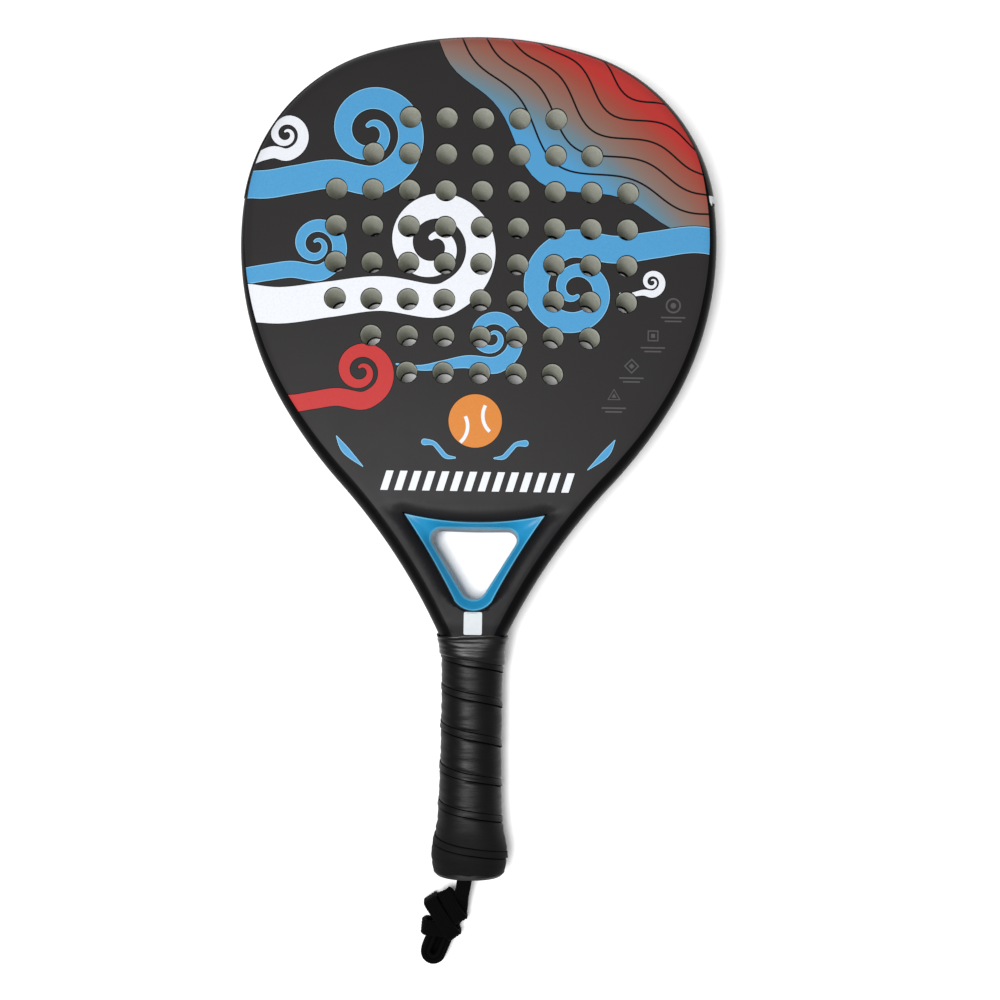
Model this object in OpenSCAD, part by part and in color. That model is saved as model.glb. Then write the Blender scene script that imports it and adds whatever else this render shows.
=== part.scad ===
// Padel racket: a foam-cored, tube-framed paddle with a bored face, an open throat,
// a gripped handle and a wrist strap.
// It lies on its back: +X right, +Y from the butt to the crown, +Z up out of the front face.
// The origin is on the resting plane, midway between the butt and the crown.
// All sizes are in millimetres.

/* [Overall] */
// Length from the butt's end to the crown, over the rim tape
total_length = 455; // [453:0.5:457]
// Thickness of the head over both faces
head_t = 38; // [36:0.5:38]

/* [Head outline] */
// Radius of the crown arc
crown_r = 200; // [196:1:204]
// Turn of half of the crown arc, in degrees
crown_turn = 17.5; // [17:0.5:18]
// Radius of the shoulder arc
shoulder_r = 97; // [95:0.5:98]
// Turn of the shoulder arc, in degrees
shoulder_turn = 64.5; // [64:0.5:65]
// Radius of the flank arc, at the widest part
flank_r = 170; // [167:1:172]
// Turn of the flank arc, in degrees
flank_turn = 39; // [38.5:0.5:39.5]
// Radius of the cheek arc, below the flank
cheek_r = 260; // [255:1:265]
// Turn of the cheek arc, in degrees
cheek_turn = 11.5; // [11:0.5:12]
// Radius of the inward curve of the arms
arm_r = 330; // [325:1:335]
// Turn of the arms' curve, in degrees, past the end of the yoke
arm_turn = 22; // [21:0.5:23]

/* [Frame tube] */
// Width of the frame tube across the rim
band = 15; // [14:0.5:16]
// Wall of the frame tube
tube_wall = 2.2; // [1.5:0.1:3]
// Radius of the rim's rounded edges on the head
rim_round = 8; // [7:0.5:8]
// Thickness of one face laminate
skin_t = 1.2; // [0.8:0.1:1.4]
// Thickness of one printed film on a face
film_t = 0.3; // [0.2:0.05:0.4]
// Thickness of the rim tape
tape_t = 0.5; // [0.3:0.1:0.6]

/* [Bored holes] */
// Diameter of the bores through the foam
bore_d = 11; // [10:0.5:11]
// Diameter of the holes in both laminates and films
skin_hole_d = 11.4; // [11:0.2:12]
// Distance between neighbouring holes, along a row and between rows
hole_pitch = 19.5; // [19:0.25:20]
// Height of the lowest row above the origin
first_row_y = 44.8; // [43:0.5:46]
// Sideways offset of the middle column
hole_offset_x = 1.5; // [0:0.5:2]

/* [Throat] */
// Radius of the bridge's lower edge
bridge_r = 173; // [170:1:176]
// Lowest point of the bridge
bridge_low_y = -34.7; // [-36:0.1:-33]
// Radius of the lining's rounded foot
lining_foot_r = 12.5; // [12:0.5:13]
// Centre of the lining's rounded foot
lining_foot_y = -70; // [-71:0.5:-69]
// Half the width of the opening
opening_half_w = 23.7; // [22:0.1:24]
// Top edge of the opening
opening_top_y = -38; // [-40:0.5:-37]
// Lowest point of the opening
opening_low_y = -76.7; // [-77:0.1:-75]
// Radius of the opening's upper corners
opening_corner_r = 5.5; // [4:0.5:7]
// Radius of the opening's lower corner
opening_foot_r = 7.5; // [6:0.5:8]
// Height of the slope's outer edge above the middle plane
slope_outer_z = 12.5; // [11:0.5:13]
// Height of the slope's inner edge above the middle plane
slope_inner_z = 7; // [5:0.5:9]

/* [Handle] */
// Half the width of the bare handle tube
handle_hw = 13.4; // [13:0.1:13.8]
// How much narrower the handle's half depth is than its half width
oval = 2; // [1.5:0.1:2.5]
// Wall of the handle tube
handle_wall = 2; // [1.5:0.1:2.5]
// Thickness of the base grip
base_grip_t = 1.8; // [1.5:0.1:2]
// Thickness of the overgrip at its overlaps
overgrip_t = 1.6; // [1.4:0.1:1.8]
// Length of handle that one turn of the overgrip covers
wrap_pitch = 21; // [19:0.5:23]
// Half the width of the grip at the butt's widest
flare_hw = 21; // [20:0.1:21]

/* [Strap] */
// Diameter of a round cord of the same section as the strap
strap_d = 5; // [4.5:0.5:5.5]
// Diameter of the cord hole in the butt cap
cord_hole_d = 10; // [9:0.5:11]

/* [Hidden] */
$fn = 64;
eps = 0.01;

mid_z = head_t / 2;
butt_y = -total_length / 2;
frame_top_y = total_length / 2 - tape_t;
inset = skin_t + film_t;              // depth of the step that a laminate and its film lie in
glue_gap = 0.1;                       // bond line between neighbouring pieces

// Arcs of the outline's right half, from the crown down: [radius, turn].
// A negative radius bends outwards.
ARCS = [[crown_r, crown_turn], [shoulder_r, shoulder_turn], [flank_r, flank_turn],
  [cheek_r, cheek_turn], [-arm_r, arm_turn]];
HEAD_ARCS = 4;                        // the arcs of the head; the next one is the arm
TAPED_ARCS = 2;                       // the arcs that the rim tape covers

// Start of arc i as [x, y, heading], where the heading turns clockwise from +X
function arc_start(i) = i == 0 ? [0, frame_top_y, 0] : arc_point(i - 1, 1, 0);
// Centre of arc i
function arc_centre(i) = let (s = arc_start(i), r = ARCS[i][0])
  [s[0] - r * sin(s[2]), s[1] - r * cos(s[2])];
// Point at share f of arc i, moved inwards by d, as [x, y, heading]
function arc_point(i, f, d) = let (c = arc_centre(i), r = ARCS[i][0],
  h = arc_start(i)[2] + sign(r) * ARCS[i][1] * f)
  [c[0] + (r - d) * sin(h), c[1] + (r - d) * cos(h), h];
// Points of the outline's right half moved inwards by d, over arcs 0 to last
function right_edge(d, last) = [for (i = [0 : last], n = ceil(ARCS[i][1] / 2.5),
  k = [(i == 0 ? 0 : 1) : n]) let (p = arc_point(i, k / n, d)) [p[0], p[1]]];
// The same points mirrored and in reverse, to close the outline
function left_edge(d, last) = let (p = right_edge(d, last))
  [for (k = [len(p) - 1 : -1 : 1]) [-p[k][0], p[k][1]]];

// Plan of everything inside the outline moved inwards by d
module plan(d, last = HEAD_ARCS) {
  polygon(concat(right_edge(d, last), left_edge(d, last)));
}

// Neighbouring arcs of the rim overlap a little, and every second one is a hair slimmer,
// so that its ends lie inside the next arc's wall
lap_turn = 0.15;
hair = 0.12;
function slim(i) = i % 2 == 1 ? hair : 0;

// Sweeps a section along arc i on both sides; its x = 0 is the outline and -x points inwards
module along_arc(i) {
  c = arc_centre(i);
  r = ARCS[i][0];
  h = arc_start(i)[2];
  turn = ARCS[i][1];
  lap = slim(i) > 0 ? lap_turn : 0;
  if (i == 0) translate([c[0], c[1], 0])
    rotate_extrude(angle = 2 * turn, start = 90 - turn, $fn = 180) translate([r, 0]) children();
  else for (side = [0, 1]) mirror([side, 0, 0]) translate([c[0], c[1], 0]) {
    if (r > 0) rotate_extrude(angle = turn + 2 * lap, start = 90 - h - turn - lap, $fn = 180)
      translate([r, 0]) children();
    else rotate_extrude(angle = turn, start = 270 - h, $fn = 180)
      translate([-r, 0]) mirror([1, 0]) children();
  }
}

// Section of the head's rim: rounded outside, with a step for the laminates inside.
// t is how far the surface is moved into the wall.
module head_section(t = 0) {
  translate([-band + t, inset + t]) square([band - rim_round - t + eps, head_t - 2 * (inset + t)]);
  translate([-rim_round, rim_round]) square([rim_round - t, head_t - 2 * rim_round]);
  for (z = [rim_round, head_t - rim_round]) intersection() {
    translate([-rim_round, z]) circle(r = rim_round - t);
    translate([-rim_round, 0]) square([rim_round, head_t]);
  }
}

// Section of an arm: fully rounded at the front and the back. It is a little slimmer and lower
// than the head's, so that its end lies inside the head's wall.
arm_low_z = 1.8;
arm_slim = 0.3;
module arm_section(t = 0) {
  r = band / 2 - arm_slim;
  translate([-band + arm_slim + t, arm_low_z + r])
    square([2 * (r - t), head_t - 2 * (arm_low_z + r)]);
  for (z = [arm_low_z + r, head_t - arm_low_z - r]) translate([-band / 2, z]) circle(r = r - t);
}

yoke_top_y = -79;
yoke_end_y = -104;
// Keeps what lies above the yoke's upper edge
module above_yoke() {
  intersection() {
    children();
    translate([-150, yoke_top_y, -1]) cube([300, 400, head_t + 2]);
  }
}

// ---- the head ----

module frame_tube() {
  color("#15161a") difference() {
    union() {
      for (i = [0 : HEAD_ARCS - 1]) along_arc(i) head_section(slim(i));
      above_yoke() along_arc(HEAD_ARCS) arm_section(0);
    }
    union() {
      for (i = [0 : HEAD_ARCS - 1]) along_arc(i) head_section(tube_wall + slim(i));
      along_arc(HEAD_ARCS) arm_section(tube_wall);
    }
  }
}

module frame_foam_filler() {
  t = tube_wall + glue_gap;
  color("#d9d4c6") {
    for (i = [0 : HEAD_ARCS - 1]) along_arc(i) head_section(t + slim(i));
    above_yoke() along_arc(HEAD_ARCS) arm_section(t);
  }
}

bridge_centre_y = bridge_low_y + bridge_r;
bridge_half_turn = 21;
module bridge_sweep(t) {
  translate([0, bridge_centre_y, 0])
    rotate_extrude(angle = 2 * bridge_half_turn, start = 270 - bridge_half_turn, $fn = 180)
      translate([bridge_r, 0]) head_section(t);
}
// Everything inside the frame tube's inner wall
module inside_frame(gap) {
  linear_extrude(head_t) plan(band + gap);
}

module throat_bridge() {
  color("#15161a") difference() {
    intersection() {
      bridge_sweep(0);
      inside_frame(glue_gap);
    }
    bridge_sweep(tube_wall);
  }
}

module bridge_foam_filler() {
  color("#d9d4c6") intersection() {
    bridge_sweep(tube_wall + glue_gap);
    inside_frame(2 * glue_gap);
  }
}

// Columns on each side of the middle one, in each row from the lowest up
ROW_HALVES = [2, 3, 4, 4, 4, 4, 3, 2];
module face_holes(d) {
  for (row = [0 : len(ROW_HALVES) - 1], col = [-ROW_HALVES[row] : ROW_HALVES[row]])
    translate([hole_offset_x + col * hole_pitch, first_row_y + row * hole_pitch, -1])
      cylinder(d = d, h = head_t + 2, $fn = 32);
}

module foam_core() {
  color("#a3a894") difference() {
    translate([0, 0, inset + glue_gap]) linear_extrude(head_t - 2 * (inset + glue_gap))
      intersection() {
        plan(band + glue_gap);
        translate([0, bridge_centre_y]) circle(r = bridge_r - band - glue_gap, $fn = 180);
      }
    face_holes(bore_d);
  }
}

// Plan of a laminate: it lies in the step round the rim and on the bridge
module skin_plan() {
  d = rim_round + glue_gap;
  intersection() {
    union() {
      plan(d, HEAD_ARCS - 1);
      plan(band + glue_gap);
    }
    translate([0, bridge_centre_y]) circle(r = bridge_r - d, $fn = 180);
  }
}
module sheet_at(z, t) {
  difference() {
    translate([0, 0, z]) linear_extrude(t) skin_plan();
    face_holes(skin_hole_d);
  }
}

module front_skin() {
  color("#26262a") sheet_at(head_t - inset, skin_t);
}
module back_skin() {
  color("#26262a") sheet_at(film_t, skin_t);
}
module front_film() {
  color("#3a3839") sheet_at(head_t - film_t, film_t);
}
module back_film() {
  color("#3a3839") sheet_at(0, film_t);
}

module rim_tape() {
  tape_w = head_t - 2 * rim_round;
  color("#2b2d22") for (i = [0 : TAPED_ARCS - 1])
    along_arc(i) translate([0, rim_round]) square([tape_t, tape_w]);
}

// ---- the throat ----

opening_corners = [[-opening_half_w + opening_corner_r, opening_top_y - opening_corner_r,
    opening_corner_r],
  [opening_half_w - opening_corner_r, opening_top_y - opening_corner_r, opening_corner_r],
  [0, opening_low_y + opening_foot_r, opening_foot_r]];
module opening_plan() {
  hull() for (c = opening_corners) translate([c[0], c[1]]) circle(r = c[2], $fn = 48);
}
// Where the foot's arc leaves the arms' inner edges
foot_side_y = lining_foot_y - lining_foot_r / 2;
module lining_plan() {
  difference() {
    intersection() {
      plan(band + glue_gap);
      union() {
        translate([-60, foot_side_y]) square([120, 60]);
        translate([0, lining_foot_y]) circle(r = lining_foot_r);
      }
    }
    translate([0, bridge_centre_y]) circle(r = bridge_r + glue_gap, $fn = 180);
  }
}
// The cut that makes one slope. It starts outside the lining and ends inside the opening,
// so that it runs out through both walls.
slope_run = 1.2;
module slope_cut() {
  hull() {
    translate([0, 0, slope_outer_z + slope_run]) linear_extrude(10) {
      for (side = [-1, 1]) translate([side * 40, bridge_low_y + 6]) circle(r = 1, $fn = 24);
      translate([0, lining_foot_y]) circle(r = lining_foot_r + 2 * slope_run, $fn = 48);
    }
    translate([0, 0, slope_inner_z - slope_run]) linear_extrude(1) hull()
      for (c = opening_corners) translate([c[0], c[1]]) circle(r = c[2] - slope_run, $fn = 48);
  }
}
module throat_lining() {
  color("#34a3d8") translate([0, 0, mid_z]) difference() {
    linear_extrude(2 * slope_outer_z, center = true) lining_plan();
    linear_extrude(head_t, center = true) opening_plan();
    slope_cut();
    mirror([0, 0, 1]) slope_cut();
  }
}

yoke_low_z = arm_low_z + 0.1;                     // the yoke's flat middle, between the ridges
tape_top_y = -96.5;
finish_hw = 18.6;
finish_t = 0.8;
finish_seat_hw = finish_hw - finish_t;            // inside of the finishing tape over the yoke
module yoke() {
  seat_hw = finish_seat_hw - glue_gap;
  color("#15161a") difference() {
    intersection() {
      union() {
        along_arc(HEAD_ARCS) arm_section(0);
        translate([0, 0, yoke_low_z]) linear_extrude(head_t - 2 * yoke_low_z) plan(band / 2);
      }
      translate([-40, yoke_end_y, 0]) cube([80, yoke_top_y - yoke_end_y - glue_gap, head_t]);
    }
    translate([0, lining_foot_y, -1]) cylinder(r = lining_foot_r + glue_gap, h = head_t + 2);
    difference() {
      translate([-40, yoke_end_y - 1, -1]) cube([80, tape_top_y - yoke_end_y + 1, head_t + 2]);
      handle_turn([[oval, tape_top_y + 1], [seat_hw, tape_top_y + 1], [seat_hw, yoke_end_y - 2],
        [oval, yoke_end_y - 2]]);
    }
  }
}

label_w = 9.8;
label_top_y = -83.2;
label_end_y = -95.5;
label_t = 0.2;
module yoke_label() {
  color("#f0f2f4") translate([-label_w / 2, label_end_y, head_t - yoke_low_z])
    cube([label_w, label_top_y - label_end_y, label_t]);
}

// ---- the handle ----

// Turns a profile of [half width, y] points round the handle's axis. The section is a stadium:
// two half rounds, with a flat strip between them that is twice the oval wide.
module handle_turn(profile) {
  narrow = [for (p = profile) [p[0] - oval, p[1]]];
  translate([0, 0, mid_z]) rotate([-90, 0, 0]) {
    for (side = [0, 1]) mirror([side, 0, 0]) translate([oval, 0, 0])
      rotate_extrude(angle = 180, start = -90, $fn = 64) polygon(narrow);
    rotate([90, 0, 90]) linear_extrude(2 * oval, center = true) {
      polygon(narrow);
      mirror([1, 0]) polygon(narrow);
    }
  }
}
// A sleeve between an inner and an outer list of [half width, y] points, both from the top down
function sleeve(inner, outer) = concat(inner, [for (k = [len(outer) - 1 : -1 : 0]) outer[k]]);

tube_end_y = butt_y + 6.5;
flare_top_y = -193;
flare_full_y = -212;
grip_end_y = butt_y + 3;
grips_t = base_grip_t + overgrip_t;
cap_top_t = 0.8;                                  // wall of the cap's skirt at its upper edge
cap_full_hw = flare_hw - grips_t;
cap_end_hw = cap_full_hw - 0.9;
// Outside of the cap's skirt, from its top to where the grips end
CAP_SIDE = [[handle_hw + cap_top_t, flare_top_y], [cap_full_hw, flare_full_y],
  [cap_end_hw, grip_end_y]];

module handle_tube() {
  hw = handle_hw;
  color("#1c1d20") difference() {
    handle_turn(sleeve([[hw - handle_wall, yoke_end_y - glue_gap], [hw - handle_wall, tube_end_y]],
      [[hw, yoke_end_y - glue_gap], [hw, tube_end_y]]));
    staples(0.1);
  }
}

pocket_top_y = -200;                              // below this the knot lies in an open pocket
module handle_foam() {
  hw = handle_hw - handle_wall - glue_gap;
  color("#d9d4c6") difference() {
    handle_turn([[oval, yoke_end_y - glue_gap], [hw, yoke_end_y - glue_gap], [hw, pocket_top_y],
      [oval, pocket_top_y]]);
    staples(0.1);
  }
}

flange_hw = cap_end_hw + grips_t - 0.5;
module butt_cap() {
  color("#1b1b1d") difference() {
    union() {
      handle_turn(sleeve([[handle_hw + glue_gap, flare_top_y], [handle_hw + glue_gap, grip_end_y]],
        CAP_SIDE));
      handle_turn([[oval, tube_end_y - glue_gap], [handle_hw + 0.5, tube_end_y - glue_gap],
        [handle_hw + 0.5, grip_end_y], [flange_hw, grip_end_y], [flange_hw, butt_y + 1.5],
        [flange_hw - 1.5, butt_y], [oval, butt_y]]);
    }
    translate([0, butt_y - 1, mid_z]) rotate([-90, 0, 0]) cylinder(d = cord_hole_d, h = 10);
    staples(0.1);
  }
}

// Two wire staples, one through each flat side of the cap's skirt into the handle tube
staple_y = -199;
staple_w = 3.4;
staple_leg = 5;
staple_wire = 0.8;
module staples(grow) {
  w = staple_wire + 2 * grow;
  for (side = [-1, 1]) translate([0, staple_y, mid_z + side * (handle_hw - oval - 0.8)]) {
    for (x = [-1, 1]) translate([x * (staple_w - staple_wire) / 2, 0, 0])
      cube([w, w, staple_leg + 2 * grow], center = true);
    translate([0, 0, side * staple_leg / 2 - side * staple_wire / 2])
      cube([staple_w + 2 * grow, w, w], center = true);
  }
}
module cap_staples() {
  color("#9a9ca0") staples(0);
}

module base_grip() {
  t = base_grip_t;
  g = glue_gap;
  top = yoke_end_y - g;
  color("#2c2c2e") handle_turn(sleeve(
    [[handle_hw + g, top], [handle_hw + g, flare_top_y + g], [CAP_SIDE[0][0] + g, flare_top_y + g],
      [CAP_SIDE[1][0] + g, flare_full_y], [CAP_SIDE[2][0] + g, grip_end_y + g]],
    [[handle_hw + t, top], [handle_hw + t, flare_top_y + 6], [CAP_SIDE[0][0] + t, flare_top_y - 1],
      [CAP_SIDE[1][0] + t, flare_full_y], [CAP_SIDE[2][0] + t, grip_end_y + g]]));
}

// One turn's edge stands proud over the next turn
lap_step = 0.5;
lap_w = 4;
function base_outer_hw(y) = y > flare_top_y + 6 ? handle_hw + base_grip_t
  : lookup(y, [[grip_end_y, cap_end_hw + base_grip_t], [flare_full_y, cap_full_hw + base_grip_t],
    [flare_top_y - 1, handle_hw + cap_top_t + base_grip_t],
    [flare_top_y + 6, handle_hw + base_grip_t]]);
// Outer edge of the wound strip: every turn is flat, with a raised lap at its lower end
function wrap_points(y) = y <= flare_top_y + 6 ? [] : concat(
  [[handle_hw + grips_t - lap_step, y], [handle_hw + grips_t - lap_step, y - wrap_pitch + lap_w],
    [handle_hw + grips_t, y - wrap_pitch + lap_w], [handle_hw + grips_t, y - wrap_pitch]],
  wrap_points(y - wrap_pitch));
module overgrip() {
  g = glue_gap;
  t = overgrip_t;
  inner = [[handle_hw + base_grip_t + g, yoke_end_y - g], [handle_hw + base_grip_t + g,
    flare_top_y + 6], [base_outer_hw(flare_top_y - 1) + g, flare_top_y - 1],
    [base_outer_hw(flare_full_y) + g, flare_full_y], [base_outer_hw(grip_end_y) + g, grip_end_y + g]];
  turns = [for (p = wrap_points(yoke_end_y - g)) if (p[1] > flare_top_y + 3) p];
  outer = concat(turns, [[handle_hw + grips_t, flare_top_y + 3],
    [base_outer_hw(flare_top_y - 1) + t, flare_top_y - 1],
    [base_outer_hw(flare_full_y) + t, flare_full_y], [base_outer_hw(grip_end_y) + t, grip_end_y + g]]);
  color("#343437") handle_turn(sleeve(inner, outer));
}

tape_end_y = -109;
module finishing_tape() {
  hw = handle_hw + grips_t + glue_gap;
  color("#222225") handle_turn(sleeve([[finish_seat_hw, tape_top_y], [finish_seat_hw, yoke_end_y],
    [hw, yoke_end_y - 2], [hw, tape_end_y]],
    [[finish_hw, tape_top_y], [finish_hw, yoke_end_y - 1], [hw + finish_t, tape_end_y]]));
}

// ---- the strap ----

pivot = [0, butt_y - 4, mid_z];
pivot_gap = 0.3;
knot_y = -213;
knot_r = 3.4;

// A tube along p, where each point is [x, y, z, radius], with a ring of sides points at each
function unit(v) = v / norm(v);
function at(p, i) = [p[i][0], p[i][1], p[i][2]];
function heading_at(p, i) = unit(at(p, min(i + 1, len(p) - 1)) - at(p, max(i - 1, 0)));
function ring(p, i, sides) = let (f = heading_at(p, i), a = unit(cross(f, [0.1, 0, 1])),
  b = cross(a, f)) [for (k = [0 : sides - 1]) at(p, i) + p[i][3] * (cos(360 * k / sides) * a
    + sin(360 * k / sides) * b)];
module tube(p, sides = 10) {
  n = len(p);
  points = [for (i = [0 : n - 1]) each ring(p, i, sides)];
  walls = [for (i = [0 : n - 2], k = [0 : sides - 1], half = [0, 1])
    let (j = (k + 1) % sides, low = i * sides, high = low + sides)
      half == 0 ? [low + k, low + j, high + j] : [low + k, high + j, high + k]];
  first = [for (k = [sides - 1 : -1 : 0]) k];
  last = [for (k = [0 : sides - 1]) (n - 1) * sides + k];
  polyhedron(points, concat(walls, [first, last]));
}

module strap_knot() {
  color("#101012") translate([0, knot_y, mid_z]) rotate([90, 0, 0]) {
    rotate_extrude($fn = 48) translate([knot_r, 0]) circle(r = knot_r, $fn = 24);
    cylinder(r = knot_r, h = 2 * knot_r, center = true);
  }
}

module strap_inner_run() {
  top = knot_y - knot_r - glue_gap;
  low = pivot[1] + strap_d / 2 + pivot_gap;
  color("#101012") translate([0, low, mid_z]) rotate([-90, 0, 0])
    cylinder(d = strap_d, h = top - low);
}

// Route of the neck from the pivot down to the bundle
NECK = [[0, -231.5, 19], [-0.8, -235, 18.6], [-1.6, -238.5, 17.4], [-2.3, -242, 15.6],
  [-2.8, -245.5, 13.4]];
// The neck's upper end is round about the pivot, so that it turns clear of the inner run
function neck_route(grow) = let (r = strap_d / 2 + grow) concat(
  [for (a = [10 : 20 : 70]) [pivot[0], pivot[1] + r * cos(a), pivot[2], r * sin(a)]],
  [for (p = NECK) [p[0], p[1], p[2], r]]);
module strap_neck() {
  color("#101012") tube(neck_route(0));
}

bundle_top_z = 16;
module strap_bundle() {
  color("#101012") difference() {
    hull() {
      translate([-17.5, -244.5, 0.2]) cylinder(r = 7.5, h = bundle_top_z, $fn = 32);
      translate([-9, -242.5, 0.2]) cylinder(r = 6, h = bundle_top_z - 4, $fn = 32);
      translate([-5.5, -252, 0.2]) cylinder(r = 5.5, h = bundle_top_z - 3, $fn = 32);
      translate([-19, -272, 0.2]) cylinder(r = 7, h = bundle_top_z - 6, $fn = 32);
    }
    tube(neck_route(glue_gap));
  }
}

frame_tube();
frame_foam_filler();
throat_bridge();
bridge_foam_filler();
foam_core();
front_skin();
back_skin();
front_film();
back_film();
throat_lining();
yoke();
yoke_label();
rim_tape();
handle_tube();
handle_foam();
butt_cap();
cap_staples();
base_grip();
overgrip();
finishing_tape();
strap_knot();
strap_inner_run();
strap_neck();
strap_bundle();
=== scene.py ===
"""Padel racket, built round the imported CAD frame. Lengths are metres, or millimetres times MM."""
import math

import bmesh
import bpy
import numpy as np
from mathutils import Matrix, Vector
from mathutils.geometry import delaunay_2d_cdt


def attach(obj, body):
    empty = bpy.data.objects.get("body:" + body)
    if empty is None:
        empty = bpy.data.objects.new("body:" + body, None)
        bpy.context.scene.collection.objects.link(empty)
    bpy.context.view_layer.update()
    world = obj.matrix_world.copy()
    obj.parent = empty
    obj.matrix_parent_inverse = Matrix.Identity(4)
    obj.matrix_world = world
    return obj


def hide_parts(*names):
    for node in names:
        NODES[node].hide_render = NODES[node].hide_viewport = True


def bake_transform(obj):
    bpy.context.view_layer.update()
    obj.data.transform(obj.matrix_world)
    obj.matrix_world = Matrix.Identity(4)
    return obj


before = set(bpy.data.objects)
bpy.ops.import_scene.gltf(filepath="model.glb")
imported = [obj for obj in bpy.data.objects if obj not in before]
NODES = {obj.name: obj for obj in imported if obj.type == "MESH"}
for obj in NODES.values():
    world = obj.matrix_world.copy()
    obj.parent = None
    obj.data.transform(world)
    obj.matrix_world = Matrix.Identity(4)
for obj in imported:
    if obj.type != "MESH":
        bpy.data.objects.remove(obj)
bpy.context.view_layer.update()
MM = 0.001
MID = 19.0                  # height of the middle plane
SCENE = bpy.context.scene
SCENE.view_settings.view_transform = "Standard"


def smooth(t):
    """Smooth step of t from 0 to 1; t may be a number or an array."""
    t = np.clip(t, 0.0, 1.0)
    return t * t * (3 - 2 * t)


def mix(a, b, t):
    """The value at share t of the way from a to b."""
    return a + (b - a) * t


def unit(rows):
    """Each row as a vector of length 1."""
    return rows / np.linalg.norm(rows, axis=1)[:, None]


def new_object(name, data):
    """A new object in the scene that shows data."""
    obj = bpy.data.objects.new(name, data)
    SCENE.collection.objects.link(obj)
    return obj


# ---- camera ----

def make_camera():
    """A camera that looks straight down on the racket, a little turned."""
    face_top, distance, roll = 38, 640, 0.9
    data = bpy.data.cameras.new("camera")
    data.sensor_width = 36
    data.lens = 43.07
    data.shift_x, data.shift_y = 0.025, 0.078
    obj = new_object("camera", data)
    obj.location = (0.8 * MM, -64.8 * MM, (face_top + distance) * MM)
    obj.rotation_euler = (0, 0, math.radians(roll))
    SCENE.camera = obj


make_camera()


# ---- materials ----

class Shader:
    """A Principled material with helpers that add procedural detail to it."""

    def __init__(self, name, color, rough, metallic=0.0, specular=0.5):
        self.mat = bpy.data.materials.new(name)
        self.mat.use_nodes = True
        self.nodes = self.mat.node_tree.nodes
        self.links = self.mat.node_tree.links
        self.bsdf = self.nodes["Principled BSDF"]
        looks = {"Base Color": (*color, 1), "Roughness": rough, "Metallic": metallic,
                 "Specular IOR Level": specular}
        for key, value in looks.items():
            self.bsdf.inputs[key].default_value = value
        self.color, self.rough = color, rough
        self.height = None

    def node(self, kind, **values):
        """A new node with those inputs and settings."""
        n = self.nodes.new(kind)
        for key, value in values.items():
            if key in n.inputs:
                n.inputs[key].default_value = value
            else:
                setattr(n, key, value)
        return n

    def coords(self, scale=(1, 1, 1), turn=(0, 0, 0)):
        """Object coordinates, scaled and turned."""
        source = self.node("ShaderNodeTexCoord")
        m = self.node("ShaderNodeMapping")
        m.inputs["Scale"].default_value = scale
        m.inputs["Rotation"].default_value = turn
        self.links.new(source.outputs["Object"], m.inputs["Vector"])
        return m.outputs["Vector"]

    def noise(self, scale, detail=3.0, rough=0.5, stretch=(1, 1, 1), turn=(0, 0, 0)):
        n = self.node("ShaderNodeTexNoise", Scale=scale, Detail=detail, Roughness=rough)
        self.links.new(self.coords(stretch, turn), n.inputs["Vector"])
        return n.outputs["Fac"]

    def remap(self, value, low, high, start=0.0, end=1.0):
        """Low to high while value goes from start to end, and clamped outside."""
        n = self.node("ShaderNodeMapRange")
        for name, number in (("From Min", start), ("From Max", end), ("To Min", low), ("To Max", high)):
            n.inputs[name].default_value = number
        self.links.new(value, n.inputs["Value"])
        return n.outputs["Result"]

    def paint(self, value, stops):
        """Base colour from a ramp over value; each stop is a place and a colour."""
        n = self.node("ShaderNodeValToRGB")
        e = n.color_ramp.elements
        while len(e) < len(stops):
            e.new(0.5)
        for item, (at, color) in zip(e, stops):
            item.position, item.color = at, (*color, 1)
        self.links.new(value, n.inputs["Fac"])
        self.links.new(n.outputs["Color"], self.bsdf.inputs["Base Color"])

    def vary_color(self, value, amount):
        """Base colour a little darker and lighter with value."""
        low = tuple(c * (1 - amount) for c in self.color)
        high = tuple(min(1, c * (1 + amount)) for c in self.color)
        self.paint(value, [(0.3, low), (0.7, high)])

    def vary_rough(self, value, amount):
        low, high = max(0.02, self.rough - amount), min(1, self.rough + amount)
        self.links.new(self.remap(value, low, high), self.bsdf.inputs["Roughness"])

    def bump(self, value, distance, strength=1.0):
        """Adds a bump layer over the ones that are there."""
        n = self.node("ShaderNodeBump", Strength=strength, Distance=distance)
        self.links.new(value, n.inputs["Height"])
        if self.height is not None:
            self.links.new(self.height, n.inputs["Normal"])
        self.height = n.outputs["Normal"]
        self.links.new(self.height, self.bsdf.inputs["Normal"])

    def wave(self, scale, turn=(0, 0, 0)):
        """Even bands across the turned X axis."""
        n = self.node("ShaderNodeTexWave", Scale=scale, Distortion=0.0)
        self.links.new(self.coords(turn=turn), n.inputs["Vector"])
        return n.outputs["Fac"]

    def along(self, direction):
        """Distance from the origin along a direction."""
        n = self.node("ShaderNodeVectorMath", operation="DOT_PRODUCT")
        self.links.new(self.coords(), n.inputs[0])
        n.inputs[1].default_value = direction
        return n.outputs["Value"]

    def math(self, kind, a, b):
        n = self.node("ShaderNodeMath", operation=kind)
        for k, v in enumerate((a, b)):
            if isinstance(v, (int, float)):
                n.inputs[k].default_value = v
            else:
                self.links.new(v, n.inputs[k])
        return n.outputs["Value"]


LIGHT_GAIN = 1.47           # brightness of a white surface that faces up in this light


def rgb(*color):
    """Linear colour of a surface that is seen in this light as an sRGB colour from 0 to 255."""
    shares = (c / 255 for c in color)
    return tuple((c / 12.92 if c <= 0.04045 else ((c + 0.055) / 1.055) ** 2.4) / LIGHT_GAIN for c in shares)


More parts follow.
